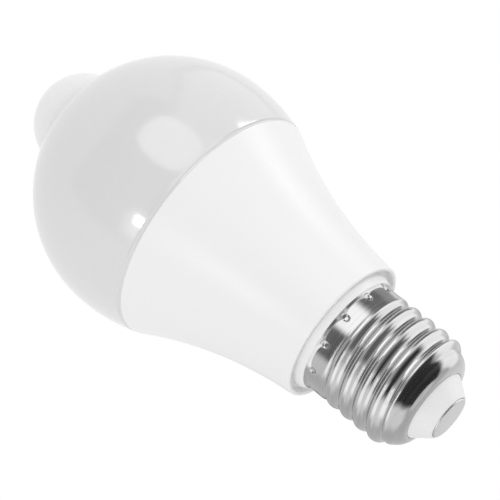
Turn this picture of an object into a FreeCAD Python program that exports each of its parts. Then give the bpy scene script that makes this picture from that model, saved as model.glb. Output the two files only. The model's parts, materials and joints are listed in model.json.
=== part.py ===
import FreeCAD, Part
import math
import os
import Sketcher

# Motion sensor LED lamp with an Edison screw cap.
# Frame: origin at the middle of the centre contact's face, +Z along the lamp's axis to the sensor
# dome, -Y towards the side from which the punch marks and the thread's angles are counted.
# Lengths are in millimetres and angles in degrees.

doc = FreeCAD.newDocument("motion_sensor_lamp")
sheet = doc.addObject("Spreadsheet::Sheet", "Sizes")

DRIVING_SIZES = [
    # Centre contact, a solid rivet head on a hollow pin
    ("contact_radius", 4.8),
    ("contact_thickness", 0.8),
    ("contact_edge_round", 0.25),
    ("contact_pin_radius", 1.5),
    ("contact_pin_length", 6.6),
    ("contact_bore_radius", 0.6),
    ("contact_bore_depth", 3.6),
    # Cap insulator, a moulded cone with a flange inside the shell
    ("insulator_tip_rim", 0.4),
    ("insulator_tip_rise", 0.35),
    ("insulator_flange_width", 1.1),
    ("insulator_flange_thickness", 1.4),
    ("insulator_wall", 1.3),
    ("insulator_boss_radius", 2.7),
    ("insulator_boss_height", 4.9),
    # Rolled screw shell, size E27
    ("shell_sheet", 0.3),
    ("shell_end_rise", 4.1),
    ("shell_shoulder_inset", 0.6),
    ("shell_shoulder_round", 3.5),
    ("shell_shoulder_blend", 1.3),
    ("thread_crest_radius", 13.12),
    ("thread_depth", 0.92),
    ("thread_pitch", 3.629),
    ("thread_crest_round", 1.1),
    ("thread_flank_angle", 50),
    ("thread_turns", 4.2),
    ("thread_foot_depth", 1.1),
    ("thread_fade_turns", 0.3),
    ("thread_fade_angle", 45),
    ("thread_hollow_start", 0.02),
    ("thread_start_angle", 34),
    ("skirt_inset", 0.17),
    ("skirt_overlap", 0.84),
    ("skirt_blend", 0.9),
    ("skirt_height", 5.3),
    ("rim_flare", 0.3),
    ("rim_flare_height", 0.4),
    ("punch_count", 12),
    ("punch_inset", 1.55),
    ("punch_radius", 0.75),
    ("punch_depth", 0.5),
    ("punch_dish_depth", 0.3),
    ("punch_wall_slope", 0.15),
    ("punch_start_angle", 11.5),
    # Housing, one moulding from the cap spigot to the seam of the diffuser
    ("spigot_inset", 1.8),
    ("spigot_wall", 1.3),
    ("collar_step", 0.85),
    ("groove_depth", 2.3),
    ("lip_gap", 0.7),
    ("groove_width", 1.6),
    ("lip_round", 0.95),
    ("neck_curve_radius", 95.7),
    ("neck_height", 37.3),
    ("seam_inset", 2.3),
    ("housing_wall", 1.4),
    ("neck_floor_thickness", 1.6),
    ("diffuser_seat_depth", 2.0),
    ("diffuser_seat_width", 2.0),
    # Diffuser, a blown globe with a tongue into the housing and an opening for the sensor dome
    ("globe_radius", 30),
    ("globe_foot_height", 13.2),
    ("globe_wall", 1.4),
    ("tongue_wall", 1.1),
    ("tongue_length", 1.8),
    # Sensor dome, a lens of milky plastic
    ("dome_radius", 11.6),
    ("dome_sink", 2.5),
    ("dome_wall", 0.7),
    ("dome_flange_radius", 13),
    ("dome_flange_thickness", 1.2),
    # Heat sink cup, pressed from aluminium sheet
    ("cup_sheet", 1.2),
    ("cup_plate_depth", 5.1),
    ("cup_height", 15.2),
    ("cup_hole_radius", 6.5),
    # LED board, with its lamps and its screws in one ring
    ("led_board_thickness", 1.2),
    ("led_board_hole_radius", 6.5),
    ("led_count", 18),
    ("led_circle_radius", 15.8),
    ("led_length", 3.5),
    ("led_width", 2.8),
    ("led_height", 0.8),
    ("board_screw_count", 3),
    ("board_screw_radius", 1.25),
    ("board_screw_head_radius", 2.2),
    ("board_screw_head_height", 1.3),
    ("board_screw_length", 3.5),
    # Post that carries the sensor under the dome
    ("post_foot_radius", 12.6),
    ("post_foot_thickness", 1.5),
    ("post_radius", 9),
    ("post_wall", 1.2),
    ("post_cup_radius", 12),
    ("post_cup_depth", 2.4),
    ("post_cup_cone_height", 3.2),
    ("post_screw_count", 2),
    ("post_screw_circle_radius", 10.7),
    ("post_screw_radius", 0.8),
    ("post_screw_head_radius", 1.5),
    ("post_screw_head_height", 1),
    ("post_screw_length", 4),
    # Sensor board and what it carries
    ("sensor_board_radius", 10.2),
    ("sensor_board_thickness", 1.2),
    ("sensor_can_radius", 4.1),
    ("sensor_can_height", 4.2),
    ("sensor_base_radius", 4.6),
    ("sensor_base_thickness", 0.5),
    ("sensor_window_length", 4),
    ("sensor_window_width", 3),
    ("sensor_window_proud", 0.2),
    ("light_sensor_radius", 1.5),
    ("light_sensor_height", 3.4),
    ("light_sensor_offset", 7.4),
    ("sensor_chip_length", 8),
    ("sensor_chip_width", 4),
    ("sensor_chip_height", 1.5),
    # Driver board, upright in the neck, and what it carries
    ("driver_board_thickness", 1.6),
    ("driver_board_inset", 3.2),
    ("driver_board_bite", 0.2),
    ("driver_board_step_gap", 2.1),
    ("driver_board_width", 25),
    ("driver_board_head_gap", 3.2),
    ("transformer_length", 11),
    ("transformer_depth", 8.4),
    ("transformer_height", 12),
    ("transformer_offset", 5.8),
    ("transformer_core_thickness", 2),
    ("transformer_core_depth", 5),
    ("capacitor_edge_round", 0.5),
    ("capacitor_groove_rise", 2.2),
    ("bulk_capacitor_radius", 4.9),
    ("bulk_capacitor_height", 15),
    ("bulk_capacitor_offset", -5.6),
    ("output_capacitor_radius", 3.1),
    ("output_capacitor_height", 11),
    ("output_capacitor_gap", 2),
    ("output_capacitor_offset", 7.4),
    ("film_capacitor_length", 10),
    ("film_capacitor_thickness", 4.4),
    ("film_capacitor_height", 9),
    ("film_capacitor_gap", 1.5),
    ("film_capacitor_offset", -5),
    ("fusible_resistor_radius", 1.7),
    ("fusible_resistor_height", 9),
    ("fusible_resistor_gap", 5.4),
    ("fusible_resistor_offset", 5.5),
    ("bridge_length", 4.7),
    ("bridge_height", 3.9),
    ("bridge_depth", 2.4),
    ("bridge_gap", 14.4),
    ("driver_chip_length", 5),
    ("driver_chip_height", 4),
    ("driver_chip_depth", 1.5),
    ("driver_chip_gap", 8),
    ("driver_chip_offset", -5),
    ("header_length", 8),
    ("header_depth", 2.5),
    ("header_overlap", 2.5),
    # Wires
    ("wire_radius", 0.5),
    ("sensor_lead_radius", 0.45),
    ("sensor_lead_spacing", 1.6),
    ("live_wire_overlap", 5.4),
    ("live_wire_bend_radius", 3),
    ("neutral_wire_overlap", 4.4),
    ("neutral_wire_bend_radius", 2),
    ("neutral_wire_drop", 0.7),
    ("neutral_slot_width", 1.4),
    ("neutral_slot_height", 3.6),
    # Clearances
    ("slip_gap", 0.1),
    ("loose_gap", 0.3),
]

DERIVED_SIZES = [
    # Heights along the lamp, from the shell's shoulder to the dome
    ("thread_start_rise", "shell_end_rise + shell_shoulder_round"),
    ("skirt_start_rise", "thread_start_rise + thread_pitch * thread_turns - skirt_overlap"),
    ("skirt_end_rise", "skirt_start_rise + skirt_height"),
    ("punch_rise", "skirt_end_rise - punch_inset"),
    ("spigot_start_rise", "thread_start_rise + spigot_inset"),
    ("lip_rise", "skirt_end_rise + lip_gap"),
    ("seam_rise", "lip_rise + neck_height"),
    ("globe_centre_rise", "seam_rise + globe_foot_height"),
    ("dome_centre_rise", "globe_centre_rise + globe_radius - dome_sink"),
    # Widths of the cap, counted from the thread's crest
    ("thread_root_radius", "thread_crest_radius - thread_depth"),
    ("skirt_radius", "thread_crest_radius - skirt_inset"),
    ("shell_mouth_radius", "thread_root_radius - shell_shoulder_inset - shell_shoulder_round"),
    ("insulator_tip_radius", "contact_radius + insulator_tip_rim"),
    ("insulator_flange_radius", "shell_mouth_radius + insulator_flange_width"),
    ("spigot_radius", "thread_root_radius - shell_sheet - loose_gap"),
    ("spigot_skirt_radius", "skirt_radius - shell_sheet - slip_gap"),
    ("spigot_bore_radius", "spigot_radius - spigot_wall"),
    ("collar_radius", "skirt_radius + collar_step"),
    ("lip_inner_radius", "collar_radius + groove_width"),
    # Widths at the seam between the housing and the diffuser
    ("seam_radius", "globe_radius - seam_inset"),
    ("diffuser_seat_radius", "seam_radius - diffuser_seat_width"),
    # Circle of the neck's hollow curve, from the lip to the seam
    ("lip_outer_radius", "lip_inner_radius + lip_round"),
    ("neck_foot_rise", "lip_rise + lip_round"),
    ("neck_chord_height", "seam_rise - neck_foot_rise"),
    ("neck_chord_width", "seam_radius - lip_outer_radius"),
    ("neck_chord", "sqrt(neck_chord_height ^ 2 + neck_chord_width ^ 2)"),
    ("neck_curve_depth", "sqrt(neck_curve_radius ^ 2 - (neck_chord / 2) ^ 2)"),
    ("neck_centre_radius",
     "(seam_radius + lip_outer_radius) / 2 + neck_curve_depth * neck_chord_height / neck_chord"),
    ("neck_centre_rise",
     "(seam_rise + neck_foot_rise) / 2 - neck_curve_depth * neck_chord_width / neck_chord"),
    ("neck_floor_rise", "lip_rise + groove_depth + neck_floor_thickness"),
    # Globe: the curve from the seam runs straight up where the globe is widest
    ("globe_foot_curve_radius", "(globe_foot_height ^ 2 + seam_inset ^ 2) / (2 * seam_inset)"),
    ("globe_inner_radius", "globe_radius - globe_wall"),
    ("globe_opening_radius", "dome_radius + slip_gap"),
    ("tongue_radius", "diffuser_seat_radius - slip_gap"),
    # Stack of the cup, the LED board, the post and the dome
    ("cup_plate_rise", "seam_rise - cup_plate_depth"),
    ("cup_foot_rise", "cup_plate_rise - cup_height"),
    ("cup_plate_top", "cup_plate_rise + cup_sheet"),
    ("led_board_top", "cup_plate_top + led_board_thickness"),
    ("dome_flange_top",
     "globe_centre_rise + sqrt((globe_inner_radius - slip_gap) ^ 2 - dome_flange_radius ^ 2)"),
    ("post_rim_rise", "dome_flange_top - dome_flange_thickness"),
    ("sensor_board_rise", "post_rim_rise - post_cup_depth"),
    ("sensor_board_top", "sensor_board_rise + sensor_board_thickness"),
    ("sensor_base_top", "sensor_board_top + sensor_base_thickness"),
    # Driver board, from its slots in the spigot to below the cup, and its parts
    ("driver_board_face", "driver_board_thickness / 2"),
    ("driver_board_foot_width", "2 * (spigot_bore_radius + driver_board_bite)"),
    ("driver_board_foot_rise", "spigot_start_rise + driver_board_inset"),
    ("driver_board_step_rise", "neck_floor_rise + driver_board_step_gap"),
    ("driver_board_top_rise", "cup_plate_rise - driver_board_head_gap"),
    ("neck_middle_rise", "(neck_floor_rise + cup_plate_rise) / 2"),
    ("transformer_rise", "neck_middle_rise - transformer_height / 2"),
    ("bulk_capacitor_rise", "neck_middle_rise - bulk_capacitor_height / 2"),
    ("output_capacitor_rise", "neck_floor_rise + output_capacitor_gap"),
    ("film_capacitor_rise", "neck_floor_rise + film_capacitor_gap"),
    ("fusible_resistor_rise", "driver_board_foot_rise + fusible_resistor_gap"),
    ("bridge_rise", "driver_board_foot_rise + bridge_gap"),
    ("driver_chip_rise", "driver_board_foot_rise + driver_chip_gap"),
    # Ends of the wires
    ("live_wire_top_rise", "driver_board_foot_rise + live_wire_overlap"),
    ("neutral_wire_top_rise", "driver_board_foot_rise + neutral_wire_overlap"),
    ("neutral_wire_low_rise", "spigot_start_rise - neutral_wire_drop"),
    ("neutral_slot_top_rise", "spigot_start_rise + neutral_slot_height"),
]


def write_sizes():
    """Fill the sheet: driving sizes as numbers, derived ones as formulas on them."""
    cells = [(name, str(value)) for name, value in DRIVING_SIZES]
    cells += [(name, "=" + formula) for name, formula in DERIVED_SIZES]
    for row, (name, content) in enumerate(cells, start=1):
        sheet.set("A%d" % row, name)
        sheet.set("B%d" % row, content)
        sheet.setAlias("B%d" % row, name)
    doc.recompute()


def plain(expression):
    """The number that an expression on the sheet gives."""
    result = sheet.evalExpression(expression)
    return float(getattr(result, "Value", result))


def named(expression):
    """An expression with each size name written as a cell of the sheet."""
    words = []
    word = ""
    for letter in expression + " ":
        if letter.isalnum() or letter == "_":
            word += letter
            continue
        if word in SIZE_NAMES:
            word = "Sizes." + word
        words.append(word + letter)
        word = ""
    return "".join(words).strip()


def number(expression):
    return plain(named(expression))


write_sizes()
SIZE_NAMES = {name for name, value in DRIVING_SIZES + DERIVED_SIZES}


def bind(item, prop, expression):
    item.setExpression(prop, named(expression))


def origin_plane(body, role):
    for feature in body.Origin.OriginFeatures:
        if feature.Role == role:
            return feature
    raise ValueError(role)


def new_body(label):
    body = doc.addObject("PartDesign::Body", label)
    body.Label = label
    return body


def new_sketch(body, role, name):
    sketch = body.newObject("Sketcher::SketchObject", name)
    sketch.AttachmentSupport = [(origin_plane(body, role), "")]
    sketch.MapMode = "FlatFace"
    return sketch


def place_corner(sketch, edge, end, x, y):
    """Hold one end of an edge at a place given by two expressions."""
    for kind, expression in (("DistanceX", x), ("DistanceY", y)):
        index = sketch.addConstraint(Sketcher.Constraint(kind, -1, 1, edge, end, number(expression)))
        if any(letter.isalpha() for letter in expression):
            bind(sketch, "Constraints[%d]" % index, expression)


def arc_between(start, end, radius, left):
    """An arc from start to end whose centre lies left or right of the chord."""
    chord = end - start
    middle = (start + end) * 0.5
    rise = math.sqrt(max(radius ** 2 - (chord.Length / 2) ** 2, 0))
    side = FreeCAD.Vector(-chord.y, chord.x, 0).normalize() * (rise if left else -rise)
    centre = middle + side
    first, last = (start, end) if left else (end, start)
    angles = [math.atan2(point.y - centre.y, point.x - centre.x) for point in (first, last)]
    circle = Part.Circle(centre, FreeCAD.Vector(0, 0, 1), radius)
    return Part.ArcOfCircle(circle, angles[0], angles[1])


def draw_outline(sketch, corners):
    """Closed outline. Each corner is (x, y) or (x, y, radius, side) where an arc leaves it."""
    spots = [FreeCAD.Vector(number(corner[0]), number(corner[1]), 0) for corner in corners]
    joints = []
    for position, corner in enumerate(corners):
        start = spots[position]
        end = spots[(position + 1) % len(spots)]
        if len(corner) == 2:
            edge = sketch.addGeometry(Part.LineSegment(start, end), False)
            joints.append((edge, 1, 2))
            continue
        left = corner[3] == "left"
        edge = sketch.addGeometry(arc_between(start, end, number(corner[2]), left), False)
        joints.append((edge, 1, 2) if left else (edge, 2, 1))
    for position, (edge, first, last) in enumerate(joints):
        following = joints[(position + 1) % len(joints)]
        sketch.addConstraint(Sketcher.Constraint("Coincident", edge, last, following[0], following[1]))
        place_corner(sketch, edge, first, corners[position][0], corners[position][1])
        if len(corners[position]) == 4:
            radius = corners[position][2]
            index = sketch.addConstraint(Sketcher.Constraint("Radius", edge, number(radius)))
            bind(sketch, "Constraints[%d]" % index, radius)


def draw_circle(sketch, x, y, radius):
    centre = FreeCAD.Vector(number(x), number(y), 0)
    circle = Part.Circle(centre, FreeCAD.Vector(0, 0, 1), number(radius))
    edge = sketch.addGeometry(circle, False)
    place_corner(sketch, edge, 3, x, y)
    index = sketch.addConstraint(Sketcher.Constraint("Radius", edge, number(radius)))
    bind(sketch, "Constraints[%d]" % index, radius)


def draw_axis(sketch, rise):
    """A level construction line across the lamp's axis, to turn a profile about."""
    line = sketch.addGeometry(Part.LineSegment(
        FreeCAD.Vector(0, number(rise), 0), FreeCAD.Vector(1, number(rise), 0)), True)
    place_corner(sketch, line, 1, "0", rise)
    place_corner(sketch, line, 2, "1", rise)


def turn(body, corners, name="Turned"):
    """Revolve an outline of (radius, height) corners about the lamp's axis."""
    sketch = new_sketch(body, "XZ_Plane", name + "Outline")
    draw_outline(sketch, corners)
    feature = body.newObject("PartDesign::Revolution", name)
    feature.Profile = sketch
    feature.ReferenceAxis = (sketch, ["V_Axis"])
    feature.Angle = 360
    doc.recompute()
    return feature


def turned_part(label, corners):
    body = new_body(label)
    turn(body, corners)
    return body


def repeat(body, features, count, name):
    """Repeat features evenly round the lamp's axis."""
    pattern = body.newObject("PartDesign::PolarPattern", name)
    pattern.Originals = features
    pattern.Axis = (origin_plane(body, "Z_Axis"), [""])
    pattern.Angle = 360
    pattern.Occurrences = int(number(count))
    bind(pattern, "Occurrences", count)
    body.Tip = pattern
    doc.recompute()
    return pattern


def sloped_sketch(body, angle, name):
    """A sketch on the plane of the axis that is turned about it by an angle."""
    sketch = new_sketch(body, "XZ_Plane", name)
    sketch.AttachmentOffset = FreeCAD.Placement(
        FreeCAD.Vector(0, 0, 0), FreeCAD.Rotation(FreeCAD.Vector(0, 1, 0), number(angle)))
    bind(sketch, "AttachmentOffset.Rotation.Angle", angle)
    return sketch


def centre_contact():
    return turned_part("centre_contact", [
        ("0", "0"),
        ("contact_radius - contact_edge_round", "0", "contact_edge_round", "left"),
        ("contact_radius", "contact_edge_round"),
        ("contact_radius", "contact_thickness"),
        ("contact_pin_radius", "contact_thickness"),
        ("contact_pin_radius", "contact_thickness + contact_pin_length"),
        ("contact_bore_radius", "contact_thickness + contact_pin_length"),
        ("contact_bore_radius", "contact_thickness + contact_pin_length - contact_bore_depth"),
        ("0", "contact_thickness + contact_pin_length - contact_bore_depth"),
    ])


def cap_insulator():
    base = "(shell_mouth_radius - slip_gap)"
    flange_start = "(shell_end_rise + shell_sheet + loose_gap + slip_gap)"
    flange_end = "(shell_end_rise + shell_sheet + loose_gap + slip_gap + insulator_flange_thickness)"
    pin = "(contact_pin_radius + slip_gap)"
    floor = "(contact_thickness + insulator_wall)"
    return turned_part("cap_insulator", [
        (pin, "contact_thickness"),
        ("contact_radius + slip_gap", "contact_thickness"),
        ("contact_radius + slip_gap", "insulator_tip_rise"),
        ("insulator_tip_radius", "insulator_tip_rise"),
        (base, "shell_end_rise"),
        (base, flange_start),
        ("insulator_flange_radius", flange_start),
        ("insulator_flange_radius", flange_end),
        (base + " - insulator_wall", flange_end),
        (base + " - insulator_wall", "shell_end_rise + slip_gap"),
        ("insulator_tip_radius - insulator_wall + slip_gap", floor),
        ("insulator_boss_radius", floor),
        ("insulator_boss_radius", "insulator_boss_height"),
        (pin, "insulator_boss_height"),
    ])


def ridge_outline(sketch, inset, turns_up):
    """Section of the thread's ridge, or of the hollow behind it where inset is the sheet."""
    rise = "(thread_start_rise + thread_pitch * %s)" % turns_up
    radius = "(thread_crest_round - %s)" % inset
    crest = "(thread_crest_radius - %s)" % inset
    half_arc = "(%s * sin(thread_flank_angle))" % radius
    arc_end = "(%s - %s * (1 - cos(thread_flank_angle)))" % (crest, radius)
    foot = "(thread_root_radius - thread_foot_depth)"
    half_foot = "(%s + (%s - %s) / tan(thread_flank_angle))" % (half_arc, arc_end, foot)
    draw_outline(sketch, [
        (foot, "%s - %s" % (rise, half_foot)),
        (arc_end, "%s - %s" % (rise, half_arc), radius, "left"),
        (arc_end, "%s + %s" % (rise, half_arc)),
        (foot, "%s + %s" % (rise, half_foot)),
    ])


def helical(body, kind, name, inset="0", start="0", turns="thread_turns",
            cone=None, down=False):
    """Wind the ridge's section about the axis, from a start counted in turns of the thread."""
    sketch = sloped_sketch(body, "thread_start_angle - 90 + 360 * %s" % start, name + "Outline")
    ridge_outline(sketch, inset, start)
    feature = body.newObject("PartDesign::" + kind, name)
    feature.Profile = sketch
    feature.ReferenceAxis = (origin_plane(body, "Z_Axis"), [""])
    feature.Mode = "pitch-turns-angle"
    bind(feature, "Pitch", "thread_pitch")
    bind(feature, "Turns", turns)
    if cone:
        bind(feature, "Angle", cone)
    feature.Reversed = down
    doc.recompute()
    return feature


def punch(body, kind, radius, reach, name):
    """A round punch mark: an outline turned about the radial line through its middle."""
    sketch = sloped_sketch(body, "punch_start_angle - 90", name + "Outline")
    outer = "(skirt_radius + loose_gap)" if kind == "Groove" else "(skirt_radius - shell_sheet / 2)"
    draw_outline(sketch, [
        (reach, "punch_rise"),
        (outer, "punch_rise"),
        (outer, "punch_rise + " + radius),
        (reach + " + punch_dish_depth", "punch_rise + %s - punch_wall_slope" % radius),
    ])
    draw_axis(sketch, "punch_rise")
    feature = body.newObject("PartDesign::" + kind, name)
    feature.Profile = sketch
    feature.ReferenceAxis = (sketch, ["Axis0"])
    feature.Angle = 360
    doc.recompute()
    return feature


def hollow_out(body, corners, name="Bore"):
    """Cut away an outline of (radius, height) corners turned about the lamp's axis."""
    sketch = new_sketch(body, "XZ_Plane", name + "Outline")
    draw_outline(sketch, corners)
    feature = body.newObject("PartDesign::Groove", name)
    feature.Profile = sketch
    feature.ReferenceAxis = (sketch, ["V_Axis"])
    feature.Angle = 360
    doc.recompute()
    return feature


def screw_shell():
    body = new_body("screw_shell")
    shoulder_rise = "(shell_end_rise + shell_shoulder_round)"
    shoulder_radius = "(shell_mouth_radius + shell_shoulder_round)"
    inner_round = "(shell_shoulder_round - shell_sheet)"
    blend_rise = "(%s + shell_shoulder_blend)" % shoulder_rise
    skirt_foot = "(skirt_start_rise + skirt_blend)"
    turn(body, [
        ("0", "shell_end_rise"),
        ("shell_mouth_radius", "shell_end_rise", "shell_shoulder_round", "left"),
        (shoulder_radius, shoulder_rise),
        ("thread_root_radius", blend_rise),
        ("thread_root_radius", "skirt_start_rise"),
        ("skirt_radius", skirt_foot),
        ("skirt_radius", "skirt_end_rise - rim_flare_height"),
        ("skirt_radius + rim_flare", "skirt_end_rise"),
        ("0", "skirt_end_rise"),
    ])
    helical(body, "AdditiveHelix", "Ridge")
    helical(body, "AdditiveHelix", "RidgeFade", turns="thread_fade_turns", cone="-thread_fade_angle",
            down=True)
    hollow_out(body, [
        ("0", "shell_end_rise - loose_gap"),
        ("shell_mouth_radius", "shell_end_rise - loose_gap"),
        ("shell_mouth_radius", "shell_end_rise + shell_sheet", inner_round, "left"),
        (shoulder_radius + " - shell_sheet", shoulder_rise),
        ("thread_root_radius - shell_sheet", blend_rise),
        ("thread_root_radius - shell_sheet", "skirt_start_rise"),
        ("skirt_radius - shell_sheet", skirt_foot),
        ("skirt_radius - shell_sheet", "skirt_end_rise - rim_flare_height"),
        ("skirt_radius + rim_flare - shell_sheet", "skirt_end_rise"),
        ("skirt_radius + rim_flare - shell_sheet", "skirt_end_rise + loose_gap"),
        ("0", "skirt_end_rise + loose_gap"),
    ])
    helical(body, "SubtractiveHelix", "RidgeHollow", inset="shell_sheet", start="thread_hollow_start",
            turns="thread_turns - 2 * thread_hollow_start")
    dimple = "(skirt_radius - punch_depth)"
    bump = punch(body, "Revolution", "(punch_radius + shell_sheet)", dimple + " - shell_sheet", "PunchBack")
    mark = punch(body, "Groove", "punch_radius", dimple, "PunchMark")
    repeat(body, [bump, mark], "punch_count", "PunchMarks")
    return body


def neck_at(rise, inset):
    """Radius of the neck's curve, moved inwards by an inset, at a height."""
    return "(neck_centre_radius - sqrt((neck_curve_radius + %s) ^ 2 - (%s - neck_centre_rise) ^ 2))" % (
        inset, rise)


def cut_block(body, width, depth, near, rise, height, name):
    """Cut a block upwards from a height: width across X, from near to near + depth along Y."""
    sketch = new_sketch(body, "XY_Plane", name + "Outline")
    bind(sketch, "AttachmentOffset.Base.z", rise)
    draw_outline(sketch, [
        ("-(%s) / 2" % width, near),
        ("(%s) / 2" % width, near),
        ("(%s) / 2" % width, "%s + %s" % (near, depth)),
        ("-(%s) / 2" % width, "%s + %s" % (near, depth)),
    ])
    feature = body.newObject("PartDesign::Pocket", name)
    feature.Profile = sketch
    feature.Reversed = True
    bind(feature, "Length", height)
    doc.recompute()


def housing():
    body = new_body("housing")
    floor = "neck_floor_rise"
    seat = "(seam_rise - diffuser_seat_depth)"
    turn(body, [
        ("spigot_bore_radius", "spigot_start_rise"),
        ("spigot_radius", "spigot_start_rise"),
        ("spigot_radius", "skirt_start_rise"),
        ("spigot_skirt_radius", "skirt_start_rise + skirt_blend + loose_gap"),
        ("spigot_skirt_radius", "skirt_end_rise"),
        ("collar_radius", "skirt_end_rise"),
        ("collar_radius", "lip_rise + groove_depth"),
        ("lip_inner_radius", "lip_rise + groove_depth"),
        ("lip_inner_radius", "lip_rise", "lip_round", "left"),
        ("lip_outer_radius", "neck_foot_rise", "neck_curve_radius", "right"),
        ("seam_radius", "seam_rise"),
        ("diffuser_seat_radius", "seam_rise"),
        ("diffuser_seat_radius", seat),
        (neck_at(seat, "housing_wall"), seat, "neck_curve_radius + housing_wall", "left"),
        (neck_at(floor, "housing_wall"), floor),
        ("spigot_bore_radius", floor),
    ])
    cut_block(body, "driver_board_foot_width + 2 * slip_gap", "driver_board_thickness + 2 * slip_gap",
              "-driver_board_face - slip_gap", "driver_board_foot_rise",
              floor + " - driver_board_foot_rise + loose_gap", "BoardSlots")
    cut_block(body, "neutral_slot_width", "spigot_radius - spigot_bore_radius + 2 * loose_gap",
              "spigot_bore_radius - loose_gap", "spigot_start_rise",
              "neutral_slot_top_rise - spigot_start_rise", "NeutralSlot")
    relieve_punches(body)
    return body


def relieve_punches(body):
    """Pockets in the spigot that the punched sheet is pressed into."""
    radius = "(punch_radius + shell_sheet + slip_gap)"
    depth = "(skirt_radius - punch_depth - shell_sheet - slip_gap)"
    sketch = sloped_sketch(body, "punch_start_angle - 90", "PunchPocketOutline")
    draw_outline(sketch, [
        (depth, "punch_rise"),
        ("spigot_skirt_radius + slip_gap", "punch_rise"),
        ("spigot_skirt_radius + slip_gap", "punch_rise + " + radius),
        (depth, "punch_rise + " + radius),
    ])
    draw_axis(sketch, "punch_rise")
    feature = body.newObject("PartDesign::Groove", "PunchPocket")
    feature.Profile = sketch
    feature.ReferenceAxis = (sketch, ["Axis0"])
    feature.Angle = 360
    doc.recompute()
    repeat(body, [feature], "punch_count", "PunchPockets")


def diffuser():
    sphere_top = "(globe_centre_rise + sqrt(globe_radius ^ 2 - globe_opening_radius ^ 2))"
    sphere_top_inner = "(globe_centre_rise + sqrt(globe_inner_radius ^ 2 - globe_opening_radius ^ 2))"
    ledge = "(seam_rise + tongue_wall)"
    foot_inner_curve = "(globe_foot_curve_radius - globe_wall)"
    foot_inner = "(globe_radius - globe_foot_curve_radius + sqrt(%s ^ 2 - (globe_centre_rise - %s) ^ 2))" % (
        foot_inner_curve, ledge)
    tongue_end = "(seam_rise - tongue_length)"
    return turned_part("diffuser", [
        ("tongue_radius", tongue_end),
        ("tongue_radius", "seam_rise"),
        ("seam_radius", "seam_rise", "globe_foot_curve_radius", "left"),
        ("globe_radius", "globe_centre_rise", "globe_radius", "left"),
        ("globe_opening_radius", sphere_top),
        ("globe_opening_radius", sphere_top_inner, "globe_inner_radius", "right"),
        ("globe_inner_radius", "globe_centre_rise", foot_inner_curve, "right"),
        (foot_inner, ledge),
        ("tongue_radius - tongue_wall", ledge),
        ("tongue_radius - tongue_wall", tongue_end),
    ])


def sensor_dome():
    inner = "(dome_radius - dome_wall)"
    return turned_part("sensor_dome", [
        ("dome_radius", "dome_centre_rise", "dome_radius", "left"),
        ("0", "dome_centre_rise + dome_radius"),
        ("0", "dome_centre_rise + " + inner, inner, "right"),
        (inner, "dome_centre_rise"),
        (inner, "post_rim_rise"),
        ("dome_flange_radius", "post_rim_rise"),
        ("dome_flange_radius", "dome_flange_top"),
        ("dome_radius", "dome_flange_top"),
    ])


def heat_sink_cup():
    body = new_body("heat_sink_cup")
    fit = "(housing_wall + slip_gap)"
    outer_curve = "(neck_curve_radius + %s)" % fit
    inner_fit = "(housing_wall + slip_gap + cup_sheet)"
    inner_curve = "(neck_curve_radius + %s)" % inner_fit
    turn(body, [
        ("cup_hole_radius", "cup_plate_rise"),
        (neck_at("cup_plate_rise", inner_fit), "cup_plate_rise", inner_curve, "left"),
        (neck_at("cup_foot_rise", inner_fit), "cup_foot_rise"),
        (neck_at("cup_foot_rise", fit), "cup_foot_rise", outer_curve, "right"),
        (neck_at("cup_plate_top", fit), "cup_plate_top"),
        ("cup_hole_radius", "cup_plate_top"),
    ])
    drill_screw_holes(body, "cup_plate_top", "cup_sheet")
    return body


def drill_screw_holes(body, top, depth):
    """Holes for the board's screws and for the post's screws, down from a face."""
    for name, count, circle, radius in (
            ("BoardScrewHole", "board_screw_count", "led_circle_radius", "board_screw_radius"),
            ("PostScrewHole", "post_screw_count", "post_screw_circle_radius", "post_screw_radius")):
        sketch = new_sketch(body, "XY_Plane", name + "Circle")
        bind(sketch, "AttachmentOffset.Base.z", top)
        draw_circle(sketch, circle, "0", "%s + slip_gap" % radius)
        hole = body.newObject("PartDesign::Pocket", name)
        hole.Profile = sketch
        bind(hole, "Length", depth)
        doc.recompute()
        repeat(body, [hole], count, name + "s")


def led_board():
    body = new_body("led_board")
    edge = neck_at("cup_plate_top", "housing_wall + loose_gap")
    turn(body, [
        ("led_board_hole_radius", "cup_plate_top"),
        (edge, "cup_plate_top"),
        (edge, "led_board_top"),
        ("led_board_hole_radius", "led_board_top"),
    ])
    drill_screw_holes(body, "led_board_top", "led_board_thickness")
    return body


def place(item, x, y, z):
    for axis, expression in (("x", x), ("y", y), ("z", z)):
        bind(item, "Placement.Base." + axis, expression)


def block(name, length, width, height, x, y, z, angle=0):
    """A box by the middle of its foot, turned about Z by an angle."""
    box = doc.addObject("Part::Box", name)
    box.Label = name
    bind(box, "Length", length)
    bind(box, "Width", width)
    bind(box, "Height", height)
    rotation = FreeCAD.Rotation(FreeCAD.Vector(0, 0, 1), angle)
    box.Placement = FreeCAD.Placement(FreeCAD.Vector(0, 0, 0), rotation)
    parts = {"c": math.cos(math.radians(angle)), "s": math.sin(math.radians(angle)),
             "x": x, "y": y, "l": length, "w": width}
    place(box, "%(x)s - %(c).9f * (%(l)s) / 2 + %(s).9f * (%(w)s) / 2" % parts,
          "%(y)s - %(s).9f * (%(l)s) / 2 - %(c).9f * (%(w)s) / 2" % parts, z)
    return box


def rod(name, radius, height, x, y, z):
    cylinder = doc.addObject("Part::Cylinder", name)
    cylinder.Label = name
    bind(cylinder, "Radius", radius)
    bind(cylinder, "Height", height)
    place(cylinder, x, y, z)
    return cylinder


def fused(name, first, second):
    fusion = doc.addObject("Part::Fuse", name)
    fusion.Label = name
    fusion.Base = first
    fusion.Tool = second
    return fusion


def group(label, members):
    compound = doc.addObject("Part::Compound", label)
    compound.Label = label
    compound.Links = members
    return compound


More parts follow.
